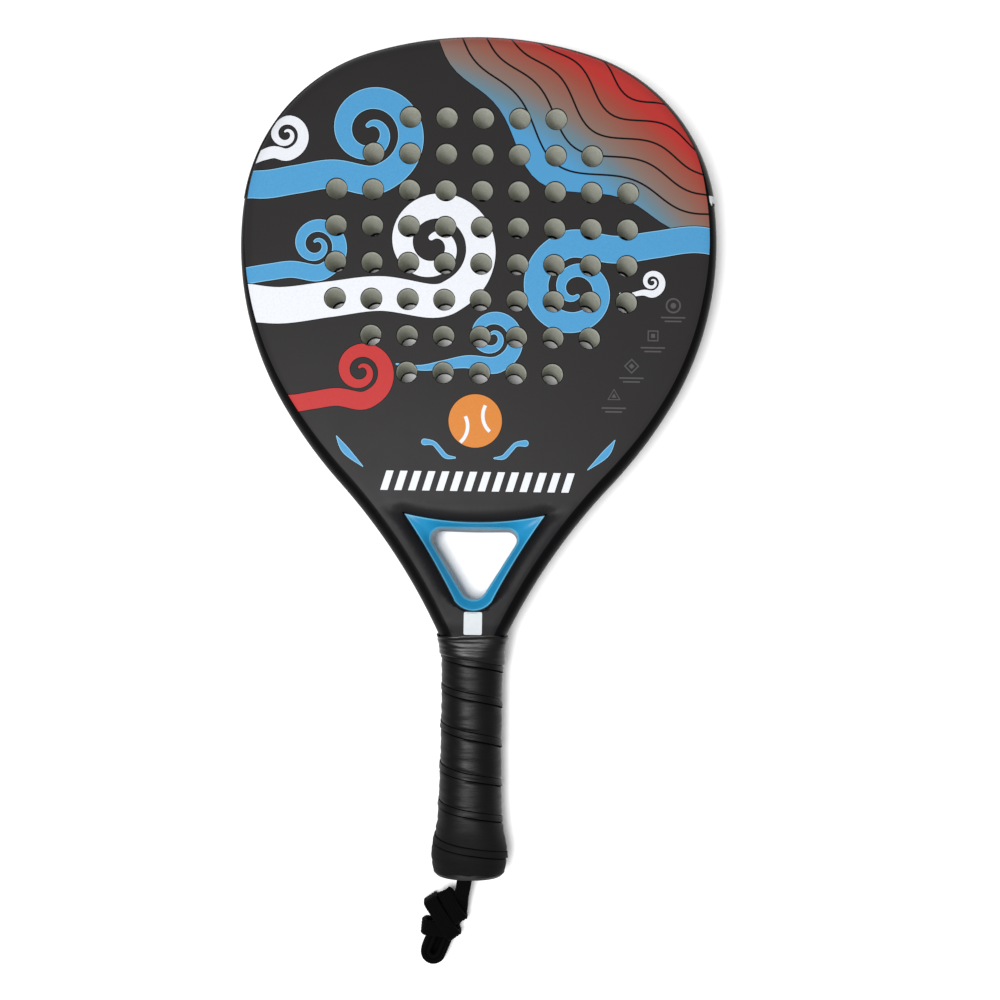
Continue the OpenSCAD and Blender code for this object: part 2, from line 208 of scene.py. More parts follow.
def surface(name, color, rough, specular, tint, dull=None, *bumps):
    """A material whose colour, roughness and height vary with noises, each a noise's values and an amount."""
    s = Shader(name, color, rough, specular=specular)
    s.vary_color(s.noise(*tint[0]), tint[1])
    if dull:
        s.vary_rough(s.noise(*dull[0]), dull[1])
    for noise, *amount in bumps:
        s.bump(s.noise(*noise), *amount)
    return s


def lacquer(name, color, rough=0.42):
    """Printed lacquer over the laminate: satin, with a faint grain and orange peel."""
    return surface(name, color, rough, 0.1, ((900, 4, 0.7), 0.06), ((60, 3), 0.06),
                   ((2200, 2), 0.00002, 0.35), ((160, 2), 0.00006, 0.25))


LACQUERS = {
    "blue": (84, 162, 213), "white": (240, 243, 249), "red": (199, 58, 58), "light_blue": (142, 200, 232),
    "ink": (14, 14, 17), "icon": (88, 87, 88),
}
# Material's name, colour, roughness, specular, then the noises of colour, roughness and height; a noise's
# values are its scale, detail, roughness and stretch
SURFACES = {
    "frame": ("frame_laminate", rgb(4, 4, 6), 0.42, 0.08, ((700, 4), 0.12), ((45, 3), 0.07),
              ((1800, 2), 0.00002, 0.35), ((120, 2), 0.0001, 0.25)),
    "filler": ("foam_filler", rgb(214, 206, 190), 0.95, 0.2, ((500, 5, 0.7), 0.1), None,
               ((1300, 4), 0.0003, 0.7)),
    "throat": ("throat_blue", rgb(34, 150, 203), 0.4, 0.25, ((240, 3), 0.05), ((70, 3), 0.05),
               ((220, 2), 0.00008, 0.3)),
    # Painted highlight: a lighter blue for the lining's edges
    "throat_edge": ("throat_edge", rgb(96, 184, 224), 0.4, 0.25, ((300, 3), 0.06), None,
                    ((220, 2), 0.00008, 0.3)),
    "throat_wall": ("throat_wall", rgb(168, 178, 186), 0.6, 0.2, ((180, 4), 0.08), None,
                    ((400, 3), 0.0001, 0.3)),
    "label": ("label_film", rgb(218, 224, 228), 0.45, 0.12, ((300, 3), 0.03), None,
              ((260, 2), 0.00005, 0.3)),
    "tape": ("rim_tape_film", rgb(26, 27, 19), 0.42, 0.2, ((200, 4, 0.5, (1, 1, 0.3)), 0.15), ((90, 3), 0.1),
             ((300, 3, 0.5, (1, 1, 0.2)), 0.0001, 0.4)),
    "torn": ("torn_tape", rgb(232, 236, 238), 0.7, 0.3, ((600, 4), 0.08), None,
             ((900, 4), 0.0002, 0.7)),
    # Painted shade: near black for the grooves between the overgrip's laps
    "grip_lap": ("overgrip_lap", rgb(4, 4, 4), 0.9, 0.02, ((500, 3), 0.3)),
    "finish": ("finishing_tape_film", rgb(13, 12, 13), 0.34, 0.22, ((120, 4), 0.1),
               ((80, 3, 0.5, (0.5, 2, 0.5)), 0.1), ((90, 4, 0.6, (0.4, 2.4, 0.4)), 0.0006, 0.5)),
    "cap": ("cap_plastic", rgb(14, 14, 16), 0.48, 0.2, ((300, 3), 0.1), None,
            ((1500, 3), 0.00006, 0.5)),
    "base_grip": ("base_grip_foam", rgb(44, 44, 47), 0.85, 0.25, ((500, 4), 0.12), None,
                  ((1200, 4), 0.0002, 0.6)),
    "strap": ("strap_webbing", rgb(5, 5, 5), 0.85, 0.05, ((1400, 3, 0.7), 0.35), None,
              ((2600, 3, 0.6), 0.0002, 0.8)),
}


def charcoal():
    """The print's ground, darker down the arms."""
    s = lacquer("print_charcoal", rgb(45, 43, 44), 0.46)
    low = s.remap(s.along((0, 1, 0)), 0, 1, -0.021, -0.038)
    grain = s.remap(s.noise(900, 4, 0.7), -0.04, 0.04)
    s.paint(s.math("ADD", low, grain), [(0.0, rgb(46, 44, 45)), (1.0, rgb(21, 21, 24))])
    return s


def faded_field():
    """Blue to red towards the upper right, and towards both ends of the field."""
    s = lacquer("print_fade", rgb(150, 130, 120))
    out_way = s.math("DIVIDE", s.along((0.6, 0.8, 0)), 0.0564)
    off = s.math("ADD", s.along((0.8, -0.6, 0)), 0.050)
    bowed = s.math("ADD", out_way, s.math("MULTIPLY", s.math("MULTIPLY", off, off), 30.0))
    s.paint(s.remap(bowed, 0, 1, 2.65, 3.65), [
        (0.08, rgb(84, 160, 210)), (0.3, rgb(108, 138, 152)), (0.45, rgb(137, 120, 112)),
        (0.62, rgb(149, 101, 88)), (0.8, rgb(166, 78, 65)), (0.93, rgb(190, 58, 54))])
    return s


def core_foam():
    """Grey-green foam, with painted shade that makes it near black towards the back of the bores."""
    s = Shader("eva_foam", (0.60, 0.615, 0.545), 0.92, specular=0.2)
    s.bump(s.noise(1500, 4, 0.65), 0.0003, 0.8)
    # Painted shade: below 5.2 mm over the back the foam is painted near black, fading out by 5.8 mm
    clear = s.remap(s.along((0, 0, 1)), 0, 1, 0.0052, 0.0058)
    mottle_and_painted_shade = s.math("MULTIPLY", clear, s.remap(s.noise(650, 5, 0.7), 0.4, 1.3))
    s.paint(mottle_and_painted_shade, [(0.0, (0.004, 0.004, 0.004)), (0.7, (0.52, 0.53, 0.465)), (1.0, (0.66, 0.675, 0.60))])
    return s


def cut_laminate():
    """The laminates' edges in the holes: light in the front one, and painted shade, near black, in the back
    one.
    """
    s = Shader("laminate_cut", rgb(182, 184, 172), 0.6, specular=0.2)
    # Painted shade: below the middle plane the cut edge is painted near black
    front = s.math("GREATER_THAN", s.along((0, 0, 1)), MID * MM)
    mottle_and_painted_shade = s.math("MULTIPLY", front, s.remap(s.noise(900, 3), 0.75, 1.05))
    s.paint(mottle_and_painted_shade, [(0.0, rgb(8, 8, 8)), (1.0, rgb(190, 192, 180))])
    return s


def overgrip_skin():
    """Worn polyurethane, duller on the flare at the butt."""
    s = Shader("overgrip_polyurethane", rgb(11, 10, 11), 0.42, specular=0.13)
    s.vary_color(s.noise(120, 4, 0.6), 0.12)
    flare = s.remap(s.along((0, 1, 0)), 0, 0.36, -0.190, -0.212)
    blotch = s.remap(s.noise(70, 4, 0.6, stretch=(0.5, 1.6, 0.5)), 0.26, 0.58)
    s.links.new(s.math("ADD", flare, blotch), s.bsdf.inputs["Roughness"])
    s.bump(s.noise(1400, 3, 0.6), 0.00008, 0.5)
    s.bump(s.noise(110, 4, 0.55, stretch=(0.4, 2.2, 0.4)), 0.0008, 0.6)
    return s


def handle_laminate():
    """Laminate with the slanted bands of its windings."""
    s = Shader("handle_laminate", rgb(28, 28, 32), 0.4)
    s.vary_color(s.wave(900, (0, 0, 0.8)), 0.2)
    s.bump(s.noise(900, 3), 0.00006, 0.4)
    return s


def steel():
    """Drawn wire, its finish streaked along Y."""
    s = Shader("staple_steel", rgb(150, 152, 156), 0.32, metallic=1.0)
    s.vary_rough(s.noise(500, 3, stretch=(1, 0.2, 1)), 0.1)
    return s


def materials():
    """Every material by its short key."""
    made = {key: lacquer("print_" + key, rgb(*color)) for key, color in LACQUERS.items()}
    made.update({key: surface(*values) for key, values in SURFACES.items()})
    made.update(charcoal=charcoal(), fade=faded_field(), disc=lacquer("print_disc", rgb(222, 138, 62), 0.38),
                eva=core_foam(), cut=cut_laminate(), grip=overgrip_skin(), handle=handle_laminate(),
                steel=steel())
    return {key: shader.mat for key, shader in made.items()}


MAT = materials()


def add_mesh(name, verts, faces, mats, indices=None, sharp=30.0):
    """A mesh object of those points and faces, smooth up to an edge angle of sharp degrees."""
    mesh = bpy.data.meshes.new(name)
    mesh.from_pydata([tuple(v) for v in verts], [], [tuple(f) for f in faces])
    for m in mats:
        mesh.materials.append(m)
    if indices is not None:
        mesh.polygons.foreach_set("material_index", np.asarray(indices, np.int32))
    mesh.validate()
    mesh.shade_smooth()
    mesh.set_sharp_from_angle(angle=math.radians(sharp))
    mesh.update()
    return new_object(name, mesh)


def clean(obj, merge=1e-7, close=False):
    """Merges equal points and drops faces of no area; with close, fills what stays open."""
    b = bmesh.new()
    b.from_mesh(obj.data)
    bmesh.ops.remove_doubles(b, verts=b.verts, dist=merge)
    bmesh.ops.dissolve_degenerate(b, edges=b.edges, dist=merge)
    if close:
        bmesh.ops.delete(b, geom=[v for v in b.verts if not v.link_faces], context="VERTS")
        bmesh.ops.holes_fill(b, edges=[e for e in b.edges if len(e.link_faces) == 1], sides=400)
    bmesh.ops.recalc_face_normals(b, faces=b.faces)
    b.to_mesh(obj.data)
    b.free()


def ring_faces(rows, m, shut=False):
    """Quads between rings of m points each; with shut, from the last ring to the first as well."""
    return [(r * m + c, r * m + (c + 1) % m, (r + 1) % rows * m + (c + 1) % m, (r + 1) % rows * m + c)
            for r in range(rows if shut else rows - 1) for c in range(m)]


def catmull(points, step):
    """Points spaced about step along a smooth curve through points of any dimension."""
    p = [np.array(q, float) for q in points]
    n = len(p)
    out = []
    for i in range(n - 1):
        a, b, c, d = (p[min(max(i + k, 0), n - 1)] for k in (-1, 0, 1, 2))
        parts = max(2, int(math.ceil(np.linalg.norm((c - b)[:3]) / step)))
        for k in range(parts):
            t = k / parts
            out.append(0.5 * (2 * b + (c - a) * t + (2 * a - 5 * b + 4 * c - d) * t * t
                              + (3 * b - a - 3 * c + d) * t ** 3))
    return np.array(out + [p[-1]])


# ---- the wrist strap ----

STRAP_W = 8.4
STRAP_T = 2.7
# The coil on its edge: a stadium whose ends have these centres, and its two radii, in millimetres
COIL_LOW = np.array([-19.2, -273.7])
COIL_TOP = np.array([-11.5, -255.2])
COIL_R = (5.65, 2.95)
COIL_Z = 6.5
# Flat turns round the coil: middle, half length, heading and top height of each
TURNS = [
    ((-8.7, -247.6), 8.9, -60, 14.0),
    ((-14.4, -254.4), 12.0, -55, 14.0),
    ((-16.3, -260.7), 8.6, -5, 11.3),
]
TURN_LOW = 1.5              # height of the strap's middle where it passes under the coil


def strap_route():
    """Points of the strap, from the knot to its tucked end: place, and direction of its width."""
    out = [(0, -217, 19, 1, 0, 0), (-0.4, -222, 19, 1, 0, 0), (-1.5, -227.5, 18.9, 1, 0, 0),
           (-2.5, -232, 18.5, 1, 0, 0), (-3.2, -236.5, 17, 1, 0, 0), (-3.9, -241, 14.6, 1, 0, 0.1),
           (-4.3, -246, 11.4, 1, 0, 0.2), (-4.6, -251, 8.8, 0.8, 0, 0.6), (-6.0, -256, 7.4, 0.3, 0, 1)]
    up = (COIL_TOP - COIL_LOW) / np.linalg.norm(COIL_TOP - COIL_LOW)
    right = np.array([up[1], -up[0]])

    def on_edge(p, z=COIL_Z):
        out.append((*p, z, 0, 0, 1))

    big, small = COIL_R
    on_edge(mix(COIL_TOP, COIL_LOW, 0.5) + right * big)
    for r in (big, small):
        for k in range(7):
            a = math.pi * k / 6
            on_edge(COIL_LOW + r * (right * math.cos(a) - up * math.sin(a)))
        if r == big:
            on_edge(mix(COIL_LOW, COIL_TOP, 0.5) - right * big)
            for k in range(7):
                a = math.pi * k / 6
                on_edge(COIL_TOP + mix(big, small, k / 6) * (up * math.sin(a) - right * math.cos(a)))
            on_edge(mix(COIL_TOP, COIL_LOW, 0.5) + right * small)
    on_edge(mix(COIL_LOW, COIL_TOP, 0.45) - right * small, 6.9)
    # Up out of the coil to the first turn
    out += [(-14.2, -256.5, 8.6, -0.5, 0, 0.8), (-11.6, -250.5, 10.8, -0.95, -0.2, 0.1),
            (-10.3, -245.5, 11.2, -1, -0.15, 0), (-10.9, -241.9, 11.4, -1, -0.25, 0)]
    for k, (c, half, turn, high) in enumerate(TURNS):
        h = math.radians(turn)
        along = np.array([math.cos(h), math.sin(h)])
        across = (along[1], -along[0], 0)
        c = np.array(c)
        steps = [(-1, high - 3.2, 0.0), (-1, high - 0.6, -1.0), (-1, high, -3.5), (0, high, 0),
                 (1, high, -3.5), (1, high - 0.6, -1.0), (1, high - 3.2, 0.0), (1, 7.4, 0.3), (1, 4.6, 0.0),
                 (1, TURN_LOW + 0.4, -1.2), (1, TURN_LOW, -3.5)]
        if k:
            steps = [(-1, TURN_LOW, -3.5), (-1, TURN_LOW + 0.4, -1.2), (-1, 4.6, 0.0)] + steps
        else:
            steps = [(-1, high - 1.4, 0.3)] + steps[2:]
        for side, z, more in steps:
            p = c + along * side * (half + more) if side else c
            out.append((*p, z, *across))
    # The tucked end lies flat under the coil
    out.append((*c, TURN_LOW, *across))
    for share in (0.45, 0.72, 1.0):
        out.append((*mix(COIL_TOP, COIL_LOW, share + 0.12), TURN_LOW, -right[0], -right[1], 0))
    return out


def braid_ring(centre, along, width):
    """Ring of the strap's section: five soft cords side by side."""
    t = along / np.linalg.norm(along)
    w = width - t * np.dot(width, t)
    w /= np.linalg.norm(w)
    n = np.cross(t, w)
    ring = []
    cords, per = 5, 6
    for side in (1, -1):
        for k in range(cords * per):
            u = (k + 0.5) / (cords * per)
            x = (0.5 - u) * side * -1
            bulge = abs(math.sin(math.pi * u * cords)) ** 0.7
            edge = min(1.0, (0.5 - abs(x)) * 2 * cords)
            h = STRAP_T / 2 * (0.62 + 0.38 * bulge) * (0.55 + 0.45 * smooth(edge))
            ring.append(centre + w * (x * STRAP_W) + n * h * side)
    return ring


def make_strap():
    """One flat braided strap from the knot to its tucked end."""
    curve = catmull(strap_route(), 1.1)
    path = curve[:, :3]
    path[:, 2] = np.maximum(path[:, 2], TURN_LOW)
    verts = []
    n = len(path)
    for i in range(n):
        verts += braid_ring(path[i], path[min(i + 1, n - 1)] - path[max(i - 1, 0)], curve[i, 3:])
    m = len(verts) // n
    faces = ring_faces(n, m) + [tuple(range(m - 1, -1, -1)), tuple(range((n - 1) * m, n * m))]
    verts = np.array(verts)
    verts[:, 2] = np.maximum(verts[:, 2], 0.1)
    obj = add_mesh("wrist_strap", verts * MM, faces, [MAT["strap"]], sharp=60)
    clean(obj)
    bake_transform(obj)
    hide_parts("strap_inner_run", "strap_neck", "strap_bundle")


make_strap()


# ---- outline of the racket ----

# Radius and turn in degrees of each arc from the crown down the right side; the last is the arm's hollow
ARCS = [(200, 17.5), (97, 64.5), (170, 39), (260, 11.5), (-330, 22)]
ARM = 4                     # index of the arm's arc
CROWN_Y = 227.0
END_Y = -98.0               # the shell ends here, under the finishing tape
FILM = 0.12                 # how far the printed film stands over the shell
FILM_UNDER = 0.015          # how far its underside does


def arc_table():
    """Centre, radius, start heading and turn of each arc of the outline's right half."""
    x, y, h, out = 0.0, CROWN_Y, 0.0, []
    for r, turn in ARCS:
        a = math.radians(turn)
        cx, cy = x - r * math.sin(h), y - r * math.cos(h)
        out.append((cx, cy, r, h, a))
        h += math.copysign(a, r)
        x, y = cx + r * math.sin(h), cy + r * math.cos(h)
    return out


TABLE = arc_table()


def edge(i, f, d):
    """Point at share f of arc i, moved inwards by d, and its heading."""
    cx, cy, r, h, a = TABLE[i]
    hh = h + math.copysign(a, r) * f
    return cx + (r - d) * math.sin(hh), cy + (r - d) * math.cos(hh), hh


def arm_share(d, y):
    """Share of the arm's arc at which the edge moved in by d is at height y."""
    _, cy, r, h, a = TABLE[ARM]
    # The arm's arc turns back, so its heading falls from its start
    return (h - math.acos((y - cy) / (r - d))) / a


def stations(step):
    """(arc, share) from the crown down the right side, about step apart."""
    out = []
    for i, (_, _, r, _, a) in enumerate(TABLE):
        n = max(2, round(abs(r) * a / step))
        out += [(i, k / n) for k in range(0 if i == 0 else 1, n + 1)]
    return out


STATIONS = stations(2.4)


def side_curve(inset, end_y=END_Y):
    """Right half of the edge moved in by inset(arc, share), from the crown down to end_y."""
    out = []
    for i, f in STATIONS:
        x, y, _ = edge(i, f, inset(i, f))
        if i == ARM and y <= end_y + 0.6:
            break
        out.append((x, y))
    d = inset(ARM, 0.8)
    return out + [(edge(ARM, arm_share(d, end_y), d)[0], end_y)]


def both_sides(right, left=None):
    """Open line from the lower left end over the crown to the lower right end; left is given mirrored."""
    return [(-x, y) for x, y in reversed(left or right) if x > 1e-9] + right


def closed(loop):
    """A loop as a line that ends where it starts."""
    return loop + loop[:1]


def distance_to(lines, pts):
    """Least distance of each point to a set of polylines."""
    best = np.full(len(pts), 1e9)
    for line in lines:
        a, b = np.array(line[:-1]), np.array(line[1:])
        ab = b - a
        ll = (ab ** 2).sum(1)
        for lo in range(0, len(pts), 4000):
            p = pts[lo:lo + 4000, None, :]
            t = np.clip(((p - a) * ab).sum(2) / ll, 0, 1)
            q = a + ab * t[..., None]
            d = np.sqrt(((p - q) ** 2).sum(2)).min(1)
            best[lo:lo + 4000] = np.minimum(best[lo:lo + 4000], d)
    return best


def inside(poly, pts):
    """Which points lie inside a polygon."""
    poly = np.asarray(poly, float)
    out = np.zeros(len(pts), bool)
    lo, hi = poly.min(0), poly.max(0)
    near = np.nonzero(((pts >= lo) & (pts <= hi)).all(1))[0]
    if not len(near):
        return out
    x, y = pts[near, 0], pts[near, 1]
    hit = np.zeros(len(near), bool)
    for (x0, y0), (x1, y1) in zip(poly, np.roll(poly, -1, 0)):
        if y0 == y1:
            continue
        cross = (y0 > y) != (y1 > y)
        hit ^= cross & (x < (x1 - x0) * (y - y0) / (y1 - y0) + x0)
    out[near] = hit
    return out


OUTLINE = both_sides(side_curve(lambda i, f: 0.0))


# ---- throat ----

BRIDGE_R, BRIDGE_LOW = 173.0, -34.7         # the bridge's lower edge, an arc bowed downwards
BRIDGE_C = BRIDGE_LOW + BRIDGE_R
FOOT_R, FOOT_Y = 12.5, -70.0                # the round foot of the lining
# The opening's round corners, from the lowest: centre and radius
OPENING = [(0, -69.2, 7.5), (18.2, -43.5, 5.5), (-18.2, -43.5, 5.5)]


def arm_band(f):
    """Width of the arm at share f of its arc."""
    return 15.4 + 2.6 * (1 - f) ** 2


def bridge_corner(e):
    """Where the arm's inner edge moved out by e meets the bridge's lower edge moved up by e."""
    lo, hi = 0.0, 1.0
    for _ in range(50):
        f = (lo + hi) / 2
        x, y, _ = edge(ARM, f, arm_band(f) - e)
        if math.hypot(x, y - BRIDGE_C) < BRIDGE_R - e:
            lo = f
        else:
            hi = f
    return f


def throat_line(e, step=1.6):
    """Closed outline of the lining moved outwards by e, from the foot's lowest point to the right."""
    # The foot, round to where the arms' inner edges leave it
    n, end = 12, math.radians(-30)
    turns = [mix(-math.pi / 2, end, k / n) for k in range(n)]
    out = [((FOOT_R + e) * math.cos(a), FOOT_Y + (FOOT_R + e) * math.sin(a)) for a in turns]
    # Up the arm's inner edge
    top = bridge_corner(e)
    foot = arm_share(arm_band(0.55) - e, out[-1][1] + 1.2)
    _, _, arm_r, _, arm_turn = TABLE[ARM]
    m = max(3, round((foot - top) * abs(arm_r) * arm_turn / step))
    for k in range(m + 1):
        f = mix(foot, top, k / m)
        out.append(edge(ARM, f, arm_band(f) - e)[:2])
    # Back to the middle along the bridge
    half = math.asin(out[-1][0] / (BRIDGE_R - e))
    m = max(3, round(half * BRIDGE_R / step))
    for k in range(1, m + 1):
        a = half * (1 - k / m)
        out.append(((BRIDGE_R - e) * math.sin(a), BRIDGE_C - (BRIDGE_R - e) * math.cos(a)))
    return out + [(-x, y) for x, y in reversed(out[1:-1])]


def opening_line(grow):
    """Closed outline of the opening moved outwards by grow."""
    def normal(a, b):
        """Direction out of the straight side that touches corners a and b."""
        dx, dy = b[0] - a[0], b[1] - a[1]
        return math.atan2(dy, dx) - math.acos((a[2] - b[2]) / math.hypot(dx, dy))

    pts, m = [], 14
    for k, corner in enumerate(OPENING):
        x, y, r = corner
        a0, a1 = normal(OPENING[k - 1], corner), normal(corner, OPENING[(k + 1) % 3])
        while a1 < a0:
            a1 += 2 * math.pi
        turns = [mix(a0, a1, j / m) for j in range(m + 1)]
        pts += [(x + (r + grow) * math.cos(a), y + (r + grow) * math.sin(a)) for a in turns]
    # Split the long straight sides
    out = []
    for (ax, ay), (bx, by) in zip(pts, pts[1:] + pts[:1]):
        n = max(1, round(math.hypot(bx - ax, by - ay) / 2.0))
        out += [(mix(ax, bx, k / n), mix(ay, by, k / n)) for k in range(n)]
    return out


THROAT = throat_line(0.0)


# ---- height of the front surface over the plan ----

HEAD_HALF = MID - FILM
ARM_HALF = 17.1
RIM_R = 8.0
LINING_TOP = 12.8           # of the frame over the middle plane, where it meets the lining
# A groove on each arm that carries on from the bridge's lower edge
GROOVE = [(BRIDGE_R * math.sin(a), BRIDGE_C - BRIDGE_R * math.cos(a))
          for a in np.radians(np.linspace(12, 17.5, 8))]


def half_thickness(y):
    """Half the racket's thickness: thinner down the arms, and again under the finishing tape."""
    return mix(HEAD_HALF, ARM_HALF, smooth((-12 - y) / 62)) - 1.2 * smooth((-88 - y) / 10)


def height(pts):
    """Height over the middle plane of the frame's front at points of the plan."""
    pts = np.asarray(pts, float)
    x, y = pts[:, 0], pts[:, 1]
    half = half_thickness(y)
    d = np.clip(distance_to([OUTLINE], pts), 0, RIM_R)
    outer = RIM_R - np.sqrt(np.maximum(0, RIM_R ** 2 - (RIM_R - d) ** 2))
    # Near the lining the surface rounds down to it, over less room at the foot
    reach = mix(7.0, 1.6, smooth((-68 - y) / 13))
    near = (y < 10) & (abs(x) < 60)
    e = np.full(len(pts), 1e3)
    e[near] = distance_to([closed(THROAT)], pts[near])
    u = np.clip(1 - e / reach, 0, 1)
    inner = (half - LINING_TOP) * (1 - np.sqrt(np.maximum(0, 1 - u ** 2)))
    groove = np.zeros(len(pts))
    if near.any():
        depth, width = 1.3, 2.6
        p = np.column_stack([abs(x[near]), y[near]])
        fade = smooth((52 - p[:, 0]) / 15) * smooth(e[near] / 5)
        groove[near] = depth * np.exp(-(distance_to([GROOVE], p) / width) ** 2) * fade
    return half - outer - inner - groove


def triangulate(loops, lines, keep, gap=1e-5):
    """Triangles of the plan between closed loops and open lines; keep(centroids) picks them."""
    pts, edges = [], []
    for is_loop, group in ((True, loops), (False, lines)):
        for loop in group:
            first = len(pts)
            pts += [Vector((float(x), float(y))) for x, y in loop]
            count = len(loop)
            edges += [(first + k, first + (k + 1) % count) for k in range(count if is_loop else count - 1)]
    verts, _, faces, *_ = delaunay_2d_cdt(pts, edges, [], 0, gap)
    v = np.array([(p.x, p.y) for p in verts])
    f = np.array([t for t in faces if len(t) == 3])
    twice_area = np.cross(v[f[:, 1]] - v[f[:, 0]], v[f[:, 2]] - v[f[:, 0]])
    # Counter-clockwise, so that the front faces up
    f[twice_area < 0] = f[twice_area < 0][:, ::-1]
    f = f[keep(v[f].mean(1)) & (abs(twice_area) > 2e-7)]
    used = np.unique(f)
    index = np.full(len(v), -1)
    index[used] = np.arange(len(used))
    return v[used], index[f]


def plate(top, n):
    """Faces of a top, those of a bottom whose points are n further on, and the top's border edges."""
    top = [tuple(t) for t in top]
    seen = dict.fromkeys(pair for t in top for pair in zip(t, t[1:] + t[:1]))
    border = [(p, q) for p, q in seen if (q, p) not in seen]
    return top + [tuple(k + n for k in reversed(t)) for t in top], border


def both_faces(v, z):
    """Points of the plan at height z on the front, then on the back."""
    return np.vstack([np.column_stack([v, MID + z]), np.column_stack([v, MID - z])])


def wall_face(p, q, n):
    """The face between a border edge of a plate's top and its bottom."""
    return q, p, p + n, q + n


# ---- holes ----

PITCH, ROW_Y, OFFSET_X = 19.5, 44.8, 1.5
ROWS = [2, 3, 4, 4, 4, 4, 3, 2]             # holes on each side of the middle one, from the lowest row up
CUT_R, PRINT_R = 5.58, 5.92                 # radii of the cut laminate and of the edge of the print
HOLES = [(OFFSET_X + c * PITCH, ROW_Y + k * PITCH)
         for k, half in enumerate(ROWS) for c in range(-half, half + 1)]


def circle(x, y, r, n=40):
    return [(x + r * math.cos(2 * math.pi * k / n), y + r * math.sin(2 * math.pi * k / n)) for k in range(n)]


def off_holes(pts, r):
    """Which points lie outside every hole of radius r."""
    return np.all([np.hypot(*(pts - hole).T) > r - 0.02 for hole in HOLES], axis=0)


def grid_points(box, step, clear, outer, gap, lines):
    """Single points of a grid over a box, between two loops and more than clear away from lines."""
    x0, y0, x1, y1 = box
    pts = np.array([(x, y) for x in np.arange(x0, x1, step) for y in np.arange(y0, y1, step)])
    ok = inside(outer, pts) & ~inside(gap, pts)
    ok &= distance_to(lines, pts) > clear
    return [[tuple(p)] for p in pts[ok]]


def arm_points(low):
    """Grid points over the arms, the bridge and the yoke, from height low up."""
    return grid_points((-62, low, 62, 8), 3.0, 1.2, OUTLINE, THROAT, [OUTLINE, closed(THROAT)])


RIM_STEPS = (0.9, 1.9, 3.2, 4.8, 6.4, 8.0)  # inwards of the outline, lines that carry the rim's rounding
THROAT_STEPS = (1.4, 2.8, 4.5, 7.0)         # outwards of the lining


def make_shell():
    """The moulded frame, bridge, yoke and laminates as one closed shell."""
    rings = [both_sides(side_curve(lambda i, f, d=d: d)) for d in (0.25, *RIM_STEPS)]
    end = [(x, END_Y) for x in np.linspace(OUTLINE[0][0], OUTLINE[-1][0], 13)]
    loops = [THROAT] + [throat_line(e) for e in (0.5, *THROAT_STEPS)]
    loops += [circle(x, y, r) for r in (CUT_R, PRINT_R) for x, y in HOLES]
    v, f = triangulate(loops, [OUTLINE, end] + rings + arm_points(END_Y),
                       lambda c: inside(OUTLINE, c) & ~inside(THROAT, c) & off_holes(c, CUT_R))
    z = height(v)
    # The holes' edges are rounded over by this much
    on_cut, rounding = ~off_holes(v, CUT_R + 0.04), 0.35
    z[on_cut] -= rounding
    n = len(v)
    faces, border = plate(f, n)
    faces += [wall_face(p, q, n) for p, q in border]
    # The holes' walls take the cut laminate, whose back half is painted shade
    index = [0] * (2 * len(f)) + [int(on_cut[p]) for p, q in border]
    obj = add_mesh("frame_shell", both_faces(v, z) * MM, faces, [MAT["frame"], MAT["cut"]], index)
    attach(obj, "racket")
    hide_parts("frame_tube", "throat_bridge", "front_skin", "back_skin", "yoke")


make_shell()


# ---- printed film ----

FILM_END = END_Y + 1.2


def margin(i, f, side):
    """Width of the bare rim at share f of arc i, wider on the print's right side (1) than its left (-1)."""
    a = sum(t for _, t in ARCS[:i]) + ARCS[i][1] * f if i < ARM else 140
    more = np.interp(a, [55, 78, 100, 125], [0, 2.3, 1.9, 0]) if side > 0 else 0
    return float(np.interp(a, [0, 22, 55, 90, 122, 133], [0.8, 1.0, 2.2, 3.0, 5.4, 6.5]) + more)


def print_edge(least, flip):
    """Open line at the print's edge, or least inwards of the outline where that is more."""
    left, right = (side_curve(lambda i, f: max(least, margin(i, f, side * flip)), FILM_END)
                   for side in (-1, 1))
    return both_sides(right, left)


def stroke(points, step=1.6, grow=0.0, ends=True):
    """Polygon of a brush stroke through points of (x, y, width)."""
    c = catmull(points, step)
    p, w = c[:, :2], np.maximum(np.maximum(c[:, 2], 0.05) / 2 + grow, 0.02)
    t = unit(np.gradient(p, axis=0))
    off = np.column_stack([-t[:, 1], t[:, 0]]) * w[:, None]

    def cap(k, direction):
        """Half round end at point k."""
        if not ends:
            return []
        start, parts = math.atan2(direction[1], direction[0]) + math.pi / 2, 8 if w[k] > 0.5 else 4
        turns = [start - math.pi * j / parts for j in range(1, parts)]
        return [p[k] + w[k] * np.array([math.cos(a), math.sin(a)]) for a in turns]

    return np.array([*(p + off), *cap(-1, t[-1]), *(p - off)[::-1], *cap(0, -t[0])])


def arc_points(cx, cy, r, a0, a1, widths):
    """Stroke points along a circular arc, in degrees."""
    turns = [math.radians(mix(a0, a1, k / (len(widths) - 1))) for k in range(len(widths))]
    return [(cx + r * math.cos(a), cy + r * math.sin(a), w) for a, w in zip(turns, widths)]


def grown(poly, d):
    """A polygon with its edge moved outwards by d."""
    p = np.asarray(poly, float)
    x, y = p.T
    if np.sum(x * np.roll(y, -1) - np.roll(x, -1) * y) < 0:
        p = p[::-1]
    sides = (p - np.roll(p, 1, 0), np.roll(p, -1, 0) - p)
    n = sum(unit(np.column_stack([e[:, 1], -e[:, 0]])) for e in sides)
    return p + n / np.maximum(np.linalg.norm(n, axis=1), 0.5)[:, None] * d


